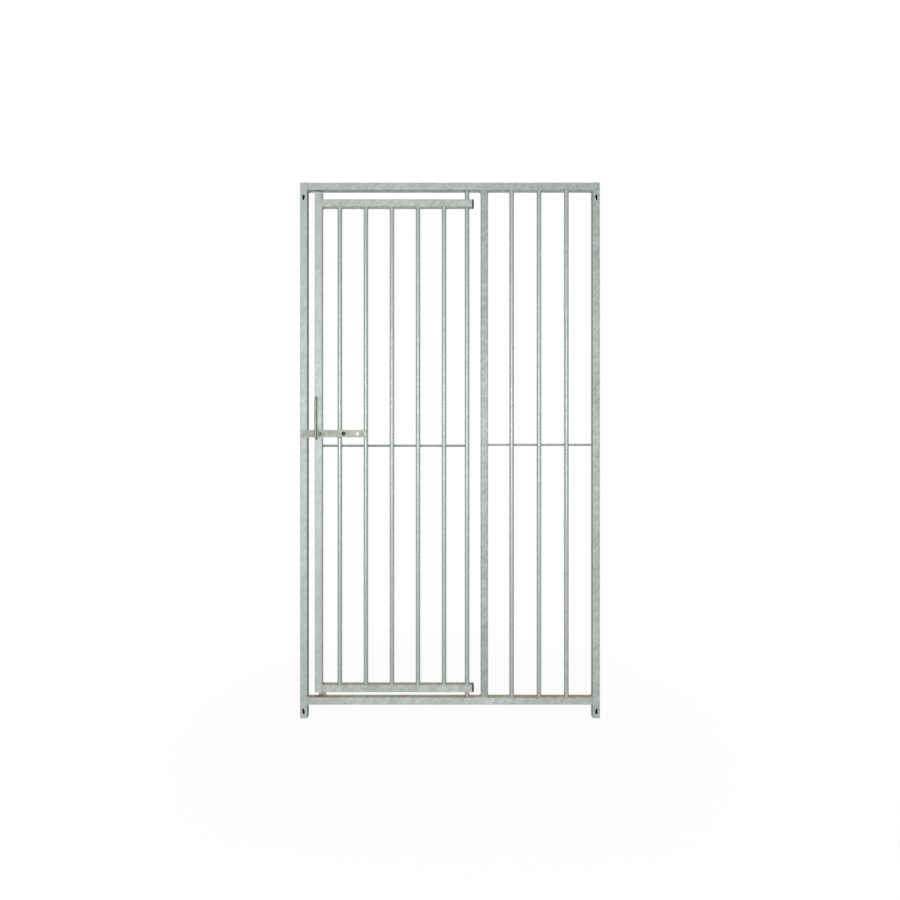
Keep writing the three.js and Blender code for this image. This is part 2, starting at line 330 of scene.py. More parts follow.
class Board:
    """A node tree that is being wired."""

    def __init__(self, tree):
        self.tree = tree
        tree.nodes.clear()

    def node(self, kind, settings=None, sockets=None):
        """A node with its settings made first, then the values and links of its sockets."""
        made = self.tree.nodes.new(kind)
        for name, value in (settings or {}).items():
            setattr(made, name, value)
        for key, value in (sockets or {}).items():
            if isinstance(value, Wire):
                self.tree.links.new(value.socket, made.inputs[key])
            else:
                made.inputs[key].default_value = value
        return Outlets(self, made)

    def vector(self, operation, first, second):
        return self.node("ShaderNodeVectorMath", {"operation": operation}, {0: first, 1: second})[0]

    def scaled(self, vector, factor):
        return self.node("ShaderNodeVectorMath", {"operation": "SCALE"}, {0: vector, "Scale": factor})[0]

    def length(self, vector):
        return self.node("ShaderNodeVectorMath", {"operation": "LENGTH"}, {0: vector})["Value"]

    def parts(self, vector):
        """The X, Y and Z of a vector, by name."""
        return self.node("ShaderNodeSeparateXYZ", {}, {"Vector": vector})

    def bumped(self, relief, strength, depth):
        sockets = {"Strength": strength, "Distance": depth, "Height": relief}
        return self.node("ShaderNodeBump", {}, sockets)["Normal"]

    def mixed(self, first, second, factor):
        """From the first colour to the second."""
        first, second = (c if isinstance(c, Wire) else (*c[:3], 1.0) for c in (first, second))
        return self.node("ShaderNodeMix", {"data_type": "RGBA"}, {0: factor, 6: first, 7: second})[2]

    def noise(self, place, scale, detail=3.0, rough=0.55, twist=0.0):
        sockets = {"Vector": place, "Scale": scale, "Detail": detail, "Roughness": rough, "Distortion": twist}
        return self.node("ShaderNodeTexNoise", {}, sockets)["Fac"]

    def coated(self, sockets):
        """Ends a material with the shader of its surface."""
        shader = self.node("ShaderNodeBsdfPrincipled", {}, sockets)
        self.node("ShaderNodeOutputMaterial", {}, {"Surface": shader["BSDF"]})


def new_material(name):
    material = bpy.data.materials.new(name)
    material.use_nodes = True
    return material, Board(material.node_tree)


def times(colour, tint):
    return tuple(a * b for a, b in zip(colour, tint))


# ---- Places on the frame ----


def middle(node):
    low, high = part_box(node)
    return (low + high) / 2.0


def half_width(node):
    """Half a node's size along X, which is the radius of an upright bar."""
    low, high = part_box(node)
    return (high.x - low.x) / 2.0


def lock_hole():
    """Where the latch bar's lock hole lies on the front of the plate behind it."""
    pivot = middle("latch_washer")
    return (pivot.x - LOCK_HOLE_OFFSET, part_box("latch_back_plate")[0].y, pivot.z)


# ---- Finishes ----


def dust_and_floor_reflection(board, here, place, upward):
    """How strong the brown painted floor reflection is, laid like matte dust: on upward faces near the floor,
    in patches, and more towards the right.
    """
    spot = board.parts(here)
    near_floor = 1.0 - spot["Z"].eased(0.10, 0.60)
    rightwards = 0.55 + spot["X"].eased(-0.05, 0.30) * 0.45
    patches = board.noise(place, 30.0, 3.0).eased(0.30, 0.60)
    return upward * near_floor * rightwards * patches


def painted_hole_shade(board, here, radius):
    """Painted shade in the lock hole: 1 on a round patch at the hole, on the plate's front and what lies
    before it, and 0 elsewhere.
    """
    hole = lock_hole()
    off = board.length(board.vector("MULTIPLY", board.vector("SUBTRACT", here, hole), (1.0, 0.0, 1.0)))
    front = 1.0 - board.parts(here)["Y"].eased(hole[1] + 0.0005, hole[1] + 0.002)
    return (1.0 - off.eased(radius * 0.80, radius * 1.12)) * front


def painted_tube_shade(board, here, facing, tube):
    """Painted shade: 1 on the inner walls of an upright tube, which are painted near-black as shade, and 0
    outside it and on its cut ends.
    """
    spot = board.parts(here)
    core = middle(tube)
    half = half_width(tube)
    aside = abs(spot["X"] - core.x).most(abs(spot["Y"] - core.y))
    cut_end = abs(facing["Z"]).eased(0.50, 0.90)
    return (1.0 - aside.eased(half - 0.0012, half - 0.0004)) * (1.0 - cut_end)


def zinc_coat(
    name,
    seed,
    tint,
    lumps=1.0,
    dust_and_reflection=0.0,
    gloss=0.0,
    contrast=1.0,
    painted_side_shade=None,
    hole_shade_radius=0.0,
    tube=None,
):
    """Hot-dip galvanised steel: cloudy blotches, faint crystals, slanting streaks and fine grain.

    Lumps is how strong its relief is, gloss how much more smooth and metallic it is than the tubes, and
    contrast how strong its blotches are. The dust-and-reflection strength is how strong the brown on its
    upward faces near
    the floor is: a painted floor reflection, made matte and less metallic like dust. The side shade is the
    way along X that a side with painted shade faces, and the darker tint painted on it. The hole shade radius
    is the radius of the near-black painted shade in and round the lock hole. Tube is the upright tube whose
    inside is painted near-black as shade.
    """
    zinc = bpy.context.scene.kennel_panel.zinc
    material, board = new_material(name)
    here = board.node("ShaderNodeTexCoord")["Object"]
    facing = board.parts(board.node("ShaderNodeNewGeometry")["Normal"])
    place = board.vector("ADD", here, (seed, seed * 1.7, seed * 0.6))
    turned = board.node("ShaderNodeMapping", {}, {"Vector": place, "Rotation": (0.0, radians(48.0), 0.0)})[0]
    slant = board.vector("MULTIPLY", turned, (16.0, 60.0, 210.0))
    hanging = board.vector("MULTIPLY", place, (1.0, 1.0, 0.06))

    cloud = board.noise(place, 8.0, 2.0).eased(0.30, 0.70)
    blotch = board.noise(place, 1.0 / zinc.blotch, 4.0, 0.62, 0.7).eased(0.36, 0.62)
    fleck = board.noise(place, 230.0, 3.0, 0.6).eased(0.30, 0.70)
    bloom = board.noise(place, 24.0, 5.0, 0.68, 1.2).eased(0.60, 0.78)
    grain = board.noise(place, 900.0, 2.0, 0.6)
    streak = board.noise(slant, 1.0, 3.0, 0.6).eased(0.30, 0.70)
    runs = board.noise(hanging, 120.0, 2.0).eased(0.58, 0.74)

    ragged = board.node("ShaderNodeTexNoise", {}, {"Vector": place, "Scale": 90.0})["Color"]
    edges = board.vector("ADD", place, board.scaled(ragged, 0.006))
    crystal = board.node("ShaderNodeTexVoronoi", {}, {"Vector": edges, "Scale": 1.0 / zinc.spangle})
    cell = board.node("ShaderNodeSeparateColor", {}, {"Color": crystal["Color"]})[0]
    pits = board.node("ShaderNodeTexVoronoi", {}, {"Vector": place, "Scale": 24.0})
    rare = board.node("ShaderNodeSeparateColor", {}, {"Color": pits["Color"]})[1].eased(0.70, 0.72)
    speck = (1.0 - pits["Distance"].eased(0.022, 0.040)) * rare

    paler = 0.53 + (blotch - 0.5) * 0.62 * contrast
    colour = board.mixed(times(zinc.dark, tint), times(zinc.light, tint), paler)
    colour = board.mixed(colour, times(zinc.bloom, tint), bloom * 0.35)
    clouds = cloud * 0.13 + cell * 0.08 + streak * 0.22 - 0.215
    colour = board.scaled(colour, 0.875 + clouds * contrast + fleck * 0.18 + grain * 0.12)
    colour = board.mixed(colour, (0.10, 0.10, 0.095), speck * 0.75)

    # Painted floor reflection: brown on upward faces near the floor, also made matte and less metallic like
    # dust.
    dust_reflection_and_tube_shade = dust_and_floor_reflection(board, here, place, facing["Z"].eased(0.25, 0.85)) * dust_and_reflection
    colour = board.mixed(colour, zinc.dust_and_reflection, dust_reflection_and_tube_shade)
    # Painted shade: the side facing the given way along X is mixed towards a darker tint, standing in for the
    # shade it gets.
    if painted_side_shade:
        way, shade_tint = painted_side_shade
        side = (facing["X"] * way).eased(0.45, 0.90)
        colour = board.mixed(colour, times(zinc.dark, shade_tint), side * 0.85)
    # Painted shade: a near-black patch in and round the lock hole, standing in for the shade on the plate
    # behind it.
    if hole_shade_radius:
        hole_shade = painted_hole_shade(board, here, hole_shade_radius)
        colour = board.mixed(colour, (0.020, 0.022, 0.020), hole_shade * (0.90 + blotch * 0.08))
    # Painted shade: the inside of the tube is painted near-black, and made matte and less metallic.
    if tube:
        tube_shade = painted_tube_shade(board, here, facing, tube)
        colour = board.mixed(colour, (0.018, 0.018, 0.019), tube_shade)
        dust_reflection_and_tube_shade = dust_reflection_and_tube_shade.most(tube_shade)

    smooth = zinc.roughness - 0.18 * gloss
    relief = blotch * 0.35 + runs * 0.55 + cell * 0.10 + grain * 0.22 - speck * 0.8
    board.coated(
        {
            "Base Color": colour,
            "Metallic": (zinc.metal + gloss) * (1.0 - bloom * 0.5) * (1.0 - dust_reflection_and_tube_shade * 0.9),
            "Roughness": smooth + (1.0 - blotch) * 0.07 + cell * 0.06 + bloom * 0.12 + dust_reflection_and_tube_shade * 0.25,
            "Specular IOR Level": 0.3,
            "Specular Tint": (0.55, 0.57, 0.62, 1.0),
            "Normal": board.bumped(relief, 0.45, 0.0005 * lumps),
        }
    )
    return material


def plating(name, low, high):
    """Zinc-plated bolt, washer and nut: satin metal in two tones, lightly marked."""
    material, board = new_material(name)
    place = board.node("ShaderNodeTexCoord")["Object"]
    film = board.noise(place, 160.0, 3.0).eased(0.35, 0.65)
    grain = board.noise(place, 2600.0, 2.0)
    board.coated(
        {
            "Base Color": board.mixed(low, high, film),
            "Metallic": 0.35,
            "Roughness": 0.58 + (1.0 - film) * 0.12,
            "Normal": board.bumped(grain + film * 0.5, 0.25, 0.0001),
        }
    )
    return material


def moulded_black(name):
    """Black moulded plastic with a fine grain and a little dust."""
    material, board = new_material(name)
    place = board.node("ShaderNodeTexCoord")["Object"]
    haze = board.noise(place, 120.0, 4.0).eased(0.45, 0.70)
    board.coated(
        {
            "Base Color": board.mixed((0.022, 0.023, 0.025), (0.075, 0.072, 0.066), haze),
            "Roughness": 0.42 + haze * 0.22,
            "Normal": board.bumped(board.noise(place, 1500.0, 2.0), 0.35, 0.0001),
        }
    )
    return material


ZINC_COATS = {
    "zinc_left_post": {
        "seed": 0.0,
        "tint": (1.00, 0.99, 0.99),
        "dust_and_reflection": 0.9,
        "contrast": 0.8,
        # painted shade on the inner side, which faces +X
        "painted_side_shade": (1.0, (0.66, 0.69, 0.74)),
        "tube": "left_post",
    },
    "zinc_right_post": {
        "seed": 0.7,
        "tint": (0.93, 0.94, 0.93),
        "dust_and_reflection": 0.9,
        # painted olive shade on the inner side, which faces -X
        "painted_side_shade": (-1.0, (1.02, 1.00, 0.84)),
        "tube": "right_post",
    },
    "zinc_mullion": {"seed": 2.2, "tint": (0.80, 0.80, 0.80), "dust_and_reflection": 0.9},
    "zinc_top_rail": {"seed": 1.3, "tint": (0.92, 0.93, 0.93)},
    "zinc_bottom_rail": {"seed": 5.9, "tint": (1.04, 1.03, 1.01), "dust_and_reflection": 0.9},
    "zinc_stile": {"seed": 3.1, "tint": (1.03, 1.02, 1.01), "contrast": 0.6},
    "zinc_door_rails": {"seed": 4.7, "tint": (0.99, 0.98, 0.96), "dust_and_reflection": 0.9},
    "zinc_bars": {"seed": 7.4, "tint": (0.96, 0.94, 0.92), "lumps": 0.2, "gloss": 0.32, "contrast": 0.3},
    "zinc_door_rod": {"seed": 11.2, "tint": (0.60, 0.59, 0.62), "gloss": 0.1},
    "zinc_fixed_rod": {"seed": 12.9, "tint": (0.86, 0.83, 0.80), "gloss": 0.1},
    "zinc_latch": {"seed": 17.9, "tint": (0.72, 0.70, 0.65), "contrast": 0.6, "hole_shade_radius": 0.0074},
    "zinc_knob": {"seed": 20.6, "tint": (0.52, 0.53, 0.48)},
    "zinc_staple": {"seed": 18.4, "tint": (0.66, 0.65, 0.60), "gloss": 0.15},
    "zinc_plate": {"seed": 19.2, "tint": (0.95, 0.92, 0.86), "hole_shade_radius": 0.0070},
    "zinc_welds": {"seed": 23.3, "tint": (0.90, 0.90, 0.89), "lumps": 2.2},
    # Painted highlight: a weld tinted far paler than the rest, standing in for light on it.
    "zinc_weld_painted_highlight": {"seed": 25.1, "tint": (1.50, 1.48, 1.42), "lumps": 2.2},
}
PLATINGS = {
    "bright_plating": ((0.62, 0.62, 0.58), (0.74, 0.74, 0.70)),
    # Painted shade: the washer's plating is darker than the bolt's, standing in for the ring of shade round
    # the bolt head.
    "washer_plating_painted_shade": ((0.36, 0.36, 0.335), (0.46, 0.46, 0.43)),
}


def finish_of(name):
    """The panel's finishes by name, each made once."""
    if name in bpy.data.materials:
        return bpy.data.materials[name]
    if name in ZINC_COATS:
        return zinc_coat(name, **ZINC_COATS[name])
    if name in PLATINGS:
        return plating(name, *PLATINGS[name])
    if name == "moulded_black":
        return moulded_black(name)
    raise ValueError(f"no finish is called {name}")


# ---- Making of pieces ----


def piece(name, mesh, finish, body, slot, *stands_for):
    """Makes a mesh a piece that moves with a body and stands for CAD nodes."""
    mesh.name = name
    mesh.materials.clear()
    mesh.materials.append(finish_of(finish))
    made = bpy.data.objects.new(name, mesh)
    bpy.context.scene.collection.objects.link(made)
    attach(made, body)
    if stands_for:
        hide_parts(*stands_for)
    return made


def plain_mesh(holder):
    """The holder's shape with its modifiers worked in; the holder goes."""
    bpy.context.view_layer.update()
    depsgraph = bpy.context.evaluated_depsgraph_get()
    mesh = bpy.data.meshes.new_from_object(
        holder.evaluated_get(depsgraph), preserve_all_data_layers=True, depsgraph=depsgraph
    )
    holder.modifiers.clear()
    start = holder.data
    bpy.data.objects.remove(holder)
    bpy.data.meshes.remove(start)
    if not mesh.polygons:
        raise RuntimeError("a piece came out empty")
    return mesh


def on_holder(mesh):
    holder = bpy.data.objects.new("holder", mesh)
    bpy.context.scene.collection.objects.link(holder)
    return holder


def turned_out(mesh):
    """Points every closed shell's faces outwards."""
    work = bmesh.new()
    work.from_mesh(mesh)
    bmesh.ops.recalc_face_normals(work, faces=work.faces)
    work.to_mesh(mesh)
    work.free()
    return mesh


def merged_copy(node):
    """A CAD node's shape with its triangles joined up and its flat faces whole."""
    work = bmesh.new()
    work.from_mesh(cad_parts[node].data)
    bmesh.ops.remove_doubles(work, verts=work.verts, dist=0.000002)
    bmesh.ops.dissolve_limit(
        work, angle_limit=radians(1.0), verts=work.verts, edges=work.edges, use_dissolve_boundaries=False
    )
    work.verts.index_update()
    corners = [v.co.copy() for v in work.verts]
    faces = [[v.index for v in f.verts] for f in work.faces]
    work.free()
    mesh = bpy.data.meshes.new(node)
    mesh.from_pydata(corners, [], faces)
    return mesh


def eased_copy(node, edge, segments=2):
    """A CAD node's shape with its cut edges rounded and its curved faces smooth."""
    holder = on_holder(merged_copy(node))
    holder.data.polygons.foreach_set("use_smooth", [True] * len(holder.data.polygons))
    bevel = holder.modifiers.new("edges", "BEVEL")
    bevel.width = edge
    bevel.segments = segments
    bevel.limit_method = "ANGLE"
    bevel.angle_limit = radians(40.0)
    bevel.use_clamp_overlap = True
    holder.modifiers.new("shading", "WEIGHTED_NORMAL")
    return plain_mesh(holder)


def lathed(profile, centre, sides=48):
    """A closed shape turned about Y from (place along Y, radius) steps; a radius of 0 closes an end."""
    work = bmesh.new()
    rings = []
    for y, radius in profile:
        turns = [2.0 * pi * i / sides for i in range(sides)] if radius else [0.0]
        spots = [(centre.x + radius * cos(t), y, centre.z + radius * sin(t)) for t in turns]
        rings.append([work.verts.new(spot) for spot in spots])
    for one, two in zip(rings, rings[1:]):
        for i in range(sides):
            j = (i + 1) % sides
            corners = [one[i % len(one)], one[j % len(one)], two[j % len(two)], two[i % len(two)]]
            work.faces.new(list(dict.fromkeys(corners)))
    bmesh.ops.recalc_face_normals(work, faces=work.faces)
    mesh = bpy.data.meshes.new("turned")
    work.to_mesh(mesh)
    work.free()
    mesh.polygons.foreach_set("use_smooth", [True] * len(mesh.polygons))
    return mesh


# ---- Trees that repeat bars and follow weld runs ----


def geometry_tree(name, inputs):
    """A new geometry tree with a geometry in and out and the named inputs, each a kind of socket."""
    tree = bpy.data.node_groups.new(name, "GeometryNodeTree")
    tree.interface.new_socket("Geometry", in_out="INPUT", socket_type="NodeSocketGeometry")
    for label, kind in inputs.items():
        tree.interface.new_socket(label, in_out="INPUT", socket_type=kind)
    tree.interface.new_socket("Geometry", in_out="OUTPUT", socket_type="NodeSocketGeometry")
    board = Board(tree)
    return tree, board, board.node("NodeGroupInput")


def swept(board, line, sides, radius):
    """A round rod of the given radius along a curve, closed at both ends."""
    ring = board.node("GeometryNodeCurvePrimitiveCircle", {}, {"Resolution": sides, "Radius": 1.0})[0]
    sockets = {"Curve": line, "Profile Curve": ring, "Scale": radius, "Fill Caps": True}
    return board.node("GeometryNodeCurveToMesh", {}, sockets)[0]


def made_uneven(board, shape, scale, lump):
    """Pushes a shape's surface in and out by up to half a lump."""
    uneven = (board.noise(board.node("GeometryNodeInputPosition")[0], scale, 2.0) - 0.5) * lump
    push = board.scaled(board.node("GeometryNodeInputNormal")[0], uneven)
    return board.node("GeometryNodeSetPosition", {}, {"Geometry": shape, "Offset": push})[0]


def close_tree(board, shape, finish):
    """Ends a geometry tree: smooth faces, real geometry and its finish."""
    smooth = board.node("GeometryNodeSetShadeSmooth", {}, {"Geometry": shape})[0]
    real = board.node("GeometryNodeRealizeInstances", {}, {"Geometry": smooth})[0]
    coated = board.node("GeometryNodeSetMaterial", {}, {"Geometry": real, "Material": finish})[0]
    board.node("NodeGroupOutput", {}, {0: coated})


def round_bar_tree():
    """Stands a round bar, swollen with zinc at both ends, on each point."""
    if "round_bars" in bpy.data.node_groups:
        return bpy.data.node_groups["round_bars"]
    number, whole = "NodeSocketFloat", "NodeSocketInt"
    tree, board, given = geometry_tree(
        "round_bars",
        {
            "Radius": number,
            "Length": number,
            "Flare": number,
            "Flare Height": number,
            "Rings": whole,
            "Sides": whole,
            "Finish": "NodeSocketMaterial",
        },
    )
    line = board.node("GeometryNodeMeshLine", {}, {"Count": given["Rings"], "Offset": (0.0, 0.0, 1.0)})[0]
    step = board.node("GeometryNodeInputIndex")[0] / (given["Rings"] - 1.0) * 2.0 - 1.0
    side = step.maths("SIGN", step)
    height = given["Length"] * 0.5 * (1.0 + side * (1.0 - (1.0 - abs(step)) ** 3.0))
    spot = board.node("ShaderNodeCombineXYZ", {}, {"Z": height})[0]
    line = board.node("GeometryNodeSetPosition", {}, {"Geometry": line, "Position": spot})[0]
    axis = board.node("GeometryNodeMeshToCurve", {}, {"Mesh": line})[0]
    at = board.parts(board.node("GeometryNodeInputPosition")[0])["Z"]
    from_end = at.least(given["Length"] - at).most(0.0)
    swell = given["Flare"] * (1.0 - from_end / given["Flare Height"]).most(0.0) ** 2.0
    bar = swept(board, axis, given["Sides"], given["Radius"] + swell)
    points = board.node("GeometryNodeMeshToPoints", {}, {"Mesh": given["Geometry"]})[0]
    bars = board.node("GeometryNodeInstanceOnPoints", {}, {"Points": points, "Instance": bar})[0]
    close_tree(board, bars, given["Finish"])
    return tree


def run_tree():
    """Lays a rippled run of weld, or a plain rod, along every line of the start mesh."""
    if "weld_runs" in bpy.data.node_groups:
        return bpy.data.node_groups["weld_runs"]
    number = "NodeSocketFloat"
    tree, board, given = geometry_tree(
        "weld_runs",
        {
            "Step": number,
            "Ripple": number,
            "Ripple Depth": number,
            "Lump": number,
            "Sides": "NodeSocketInt",
            "Finish": "NodeSocketMaterial",
        },
    )
    line = board.node("GeometryNodeMeshToCurve", {}, {"Mesh": given["Geometry"]})[0]
    sockets = {"Curve": line, "Length": given["Step"]}
    line = board.node("GeometryNodeResampleCurve", {"mode": "LENGTH"}, sockets)[0]
    radius = board.node("GeometryNodeInputNamedAttribute", {}, {"Name": "radius_m"})[0]
    even = board.node("GeometryNodeInputNamedAttribute", {}, {"Name": "even"})[0]
    along = board.node("GeometryNodeSplineParameter")["Length"]
    whole = board.node("GeometryNodeSplineLength")["Length"]
    ripples = along / given["Ripple"]
    wave = ripples.maths("FRACT", ripples)
    ripple = 1.0 + given["Ripple Depth"] * (0.5 - wave)
    rounded = (along.least(whole - along) / radius).most(0.02).least(1.0) ** 0.5
    run = swept(board, line, given["Sides"], radius * ripple * rounded.most(even))
    close_tree(board, made_uneven(board, run, 300.0, given["Lump"]), given["Finish"])
    return tree


def tack_tree():
    """Puts a small lump of weld, each turned and sized its own way, on each point."""
    if "tack_welds" in bpy.data.node_groups:
        return bpy.data.node_groups["tack_welds"]
    number = "NodeSocketFloat"
    tree, board, given = geometry_tree(
        "tack_welds",
        {
            "Width": number,
            "Depth": number,
            "Lump": number,
            "Seed": "NodeSocketInt",
            "Finish": "NodeSocketMaterial",
        },
    )
    ball = board.node("GeometryNodeMeshIcoSphere", {}, {"Radius": 1.0, "Subdivisions": 4})["Mesh"]
    points = board.node("GeometryNodeMeshToPoints", {}, {"Mesh": given["Geometry"]})[0]
    vary = board.node("FunctionNodeRandomValue", {}, {2: 0.8, 3: 1.2, "Seed": given["Seed"]})[1]
    turn = board.node("FunctionNodeRandomValue", {}, {2: -0.5, 3: 0.5, "Seed": given["Seed"] + 7.0})[1]
    size = board.node(
        "ShaderNodeCombineXYZ",
        {},
        {"X": given["Width"] * vary, "Y": given["Depth"], "Z": given["Width"] * (2.0 - vary)},
    )[0]
    tacks = board.node(
        "GeometryNodeInstanceOnPoints",
        {},
        {
            "Points": points,
            "Instance": ball,
            "Rotation": board.node("ShaderNodeCombineXYZ", {}, {"Y": turn})[0],
            "Scale": size,
        },
    )[0]
    tacks = board.node("GeometryNodeRealizeInstances", {}, {"Geometry": tacks})[0]
    close_tree(board, made_uneven(board, tacks, 260.0, given["Lump"]), given["Finish"])
    return tree


def grown(start, tree, values):
    """The start mesh with a tree's shape worked in, as one plain mesh."""
    holder = on_holder(start)
    modifier = holder.modifiers.new("shape", "NODES")
    modifier.node_group = tree
    for item in tree.interface.items_tree:
        if item.in_out == "INPUT" and item.name in values:
            modifier[item.identifier] = values[item.name]
    return turned_out(plain_mesh(holder))


def points_mesh(spots):
    mesh = bpy.data.meshes.new("spots")
    mesh.from_pydata([tuple(s) for s in spots], [], [])
    return mesh


def lines_mesh(lines, cut_ends=False):
    """Lines for the run tree, each (points, radius, whether it closes up), with rounded or cut ends."""
    corners, edges, radii, even = [], [], [], []
    for points, radius, closed in lines:
        first = len(corners)
        corners += [tuple(p) for p in points]
        edges += [(first + i, first + i + 1) for i in range(len(points) - 1)]
        if closed:
            edges.append((len(corners) - 1, first))
        radii += [radius] * len(points)
        even += [float(closed or cut_ends)] * len(points)
    mesh = bpy.data.meshes.new("lines")
    mesh.from_pydata(corners, edges, [])
    mesh.attributes.new("radius_m", "FLOAT", "POINT").data.foreach_set("value", radii)
    mesh.attributes.new("even", "FLOAT", "POINT").data.foreach_set("value", even)
    return mesh


# ---- Weld runs ----


def seam(lines, start, end, radius, outward=None, proud=0.0):
    """A run from start to end. Across flush faces, outward is the way they face, and most of it is sunk."""
    shift = Vector() if outward is None else Vector(outward) * (proud - radius)
    lines.append(([Vector(start) + shift, Vector(end) + shift], radius, False))


def collar(lines, centre, along, reach, radius):
    """A run all round a bar or rod whose axis is along X, Y or Z."""
    axes = {"X": Vector((1, 0, 0)), "Y": Vector((0, 1, 0)), "Z": Vector((0, 0, 1))}
    first, second = [axis for name, axis in axes.items() if name != along]
    turns = [2.0 * pi * i / 36 for i in range(36)]
    points = [Vector(centre) + reach * (cos(t) * first + sin(t) * second) for t in turns]
    lines.append((points, radius, True))


def rail_end(lines, rail, x, welds, over=True, under=True):
    """The joint of a rail's end with the side of an upright at x."""
    low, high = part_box(rail)
    for y, facing in ((low.y, -1.0), (high.y, 1.0)):
        foot = (x, y, low.z + SEAM_INSET)
        head = (x, y, high.z - SEAM_INSET)
        seam(lines, foot, head, welds.bead, (0.0, facing, 0.0), welds.proud)
    for z, wanted in ((high.z, over), (low.z, under)):
        if wanted:
            seam(lines, (x, low.y + SEAM_INSET, z), (x, high.y - SEAM_INSET, z), welds.fillet)


def upright_end(lines, upright, z, welds):
    """The joint of an upright's end with the rail above or below it, at z."""
    low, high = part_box(upright)
    for y, facing in ((low.y, -1.0), (high.y, 1.0)):
        seam(lines, (low.x, y, z), (high.x, y, z), welds.bead, (0.0, facing, 0.0), welds.proud)
    for x in (low.x, high.x):
        seam(lines, (x, low.y + SEAM_INSET, z), (x, high.y - SEAM_INSET, z), welds.fillet)


def bar_ends(lines, bars, welds):
    """The collars at the feet and the heads of upright bars."""
    for bar in bars:
        low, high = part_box(bar)
        for z in (low.z, high.z):
            collar(lines, (middle(bar).x, middle(bar).y, z), "Z", half_width(bar), welds.collar)


def frame_lines(welds):
    lines = []
    for rail, over in (("top_rail", False), ("bottom_rail", True)):
        low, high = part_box(rail)
        rail_end(lines, rail, low.x, welds, over=over)
        rail_end(lines, rail, high.x, welds, over=over)
    low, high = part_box("mullion")
    upright_end(lines, "mullion", low.z, welds)
    upright_end(lines, "mullion", high.z, welds)
    bar_ends(lines, FIXED_BARS, welds)
    low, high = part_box("fixed_cross_rod")
    rod = middle("fixed_cross_rod")
    for x in (low.x, high.x):
        collar(lines, (x, rod.y, rod.z), "X", ROD_COLLAR_REACH, ROD_COLLAR_RADIUS)
    low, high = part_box("door_stop")
    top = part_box("bottom_rail")[1].z
    seam(lines, (low.x, low.y, top), (high.x, low.y, top), STOP_TOP_RADIUS)
    for x in (low.x, high.x):
        seam(lines, (x, low.y, low.z + STOP_FOOT_INSET), (x, low.y, top), STOP_SIDE_RADIUS)
    return lines


def door_lines(welds):
    lines = []
    stile_low, stile_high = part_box("door_stile")
    rail_end(lines, "door_top_rail", stile_high.x, welds)
    rail_end(lines, "door_bottom_rail", stile_high.x, welds, under=False)
    bar_ends(lines, DOOR_BARS, welds)
    hinge = middle("hinge_bar")
    for rail in ("door_top_rail", "door_bottom_rail"):
        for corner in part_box(rail):
            collar(lines, (hinge.x, hinge.y, corner.z), "Z", half_width("hinge_bar"), welds.collar)
    rod = middle("door_cross_rod")
    collar(lines, (stile_high.x, rod.y, rod.z), "X", ROD_COLLAR_REACH, ROD_COLLAR_RADIUS)
    low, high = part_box("latch_back_plate")
    y = low.y + PLATE_LEFT_DEPTH
    seam(lines, (low.x, y, low.z), (low.x, y, high.z), PLATE_LEFT_RADIUS)
    low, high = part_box("latch_staple")
    rod_radius = half_width("latch_staple")
    for z in (low.z + rod_radius, high.z - rod_radius):
        leg = (middle("latch_staple").x, stile_low.y, z)
        collar(lines, leg, "Y", rod_radius, STAPLE_COLLAR_RADIUS)
    return lines


def plate_end_lines():
    """The run down the right end of the latch's back plate."""
    low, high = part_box("latch_back_plate")
    x = high.x + PLATE_RIGHT_GAP
    y = low.y + PLATE_RIGHT_DEPTH
    lines = []
    seam(lines, (x, y, low.z + PLATE_INSET), (x, y, high.z - PLATE_INSET), PLATE_RIGHT_RADIUS)
    return lines


def weld_runs(name, body, lines, welds, finish="zinc_welds"):
    values = {
        "Step": RUN_STEP,
        "Ripple": welds.ripple,
        "Ripple Depth": RIPPLE_DEPTH,
        "Lump": welds.lump,
        "Sides": RUN_SIDES,
        "Finish": finish_of(finish),
    }
    mesh = grown(lines_mesh(lines), run_tree(), values)
    return piece(name, mesh, finish, body, "galvanised_steel")


def tack_welds(name, body, spots, size, seed):
    width, depth = size
    finish = finish_of("zinc_welds")
    values = {"Width": width, "Depth": depth, "Lump": TACK_LUMP, "Seed": seed, "Finish": finish}
    mesh = grown(points_mesh(spots), tack_tree(), values)
    return piece(name, mesh, "zinc_welds", body, "galvanised_steel")


# ---- Pieces ----


def round_bars(name, body, nodes, bars):
    """A row of like bars as one piece, with the settings' sides, rings and flare."""
    low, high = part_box(nodes[0])
    feet = [(middle(node).x, middle(node).y, low.z) for node in nodes]
    values = {
        "Radius": half_width(nodes[0]),
        "Length": high.z - low.z,
        "Flare": bars.flare,
        "Flare Height": bars.flare_height,
        "Rings": bars.rings,
        "Sides": bars.sides,
        "Finish": finish_of("zinc_bars"),
    }
    mesh = grown(points_mesh(feet), round_bar_tree(), values)
    return piece(name, mesh, "zinc_bars", body, "galvanised_steel", *nodes)


def cross_rod(name, body, node, finish, sides):
    """A plain rod with cut ends, along X."""
    low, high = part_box(node)
    centre = middle(node)
    line = [(low.x, centre.y, centre.z), (high.x, centre.y, centre.z)]
    values = {
        "Step": 0.004,
        "Ripple": 0.02,
        "Ripple Depth": 0.0,
        "Lump": 0.0002,
        "Sides": sides,
        "Finish": finish_of(finish),
    }
    start = lines_mesh([(line, (high.z - low.z) / 2.0, False)], cut_ends=True)
    return piece(name, grown(start, run_tree(), values), finish, body, "galvanised_steel", node)


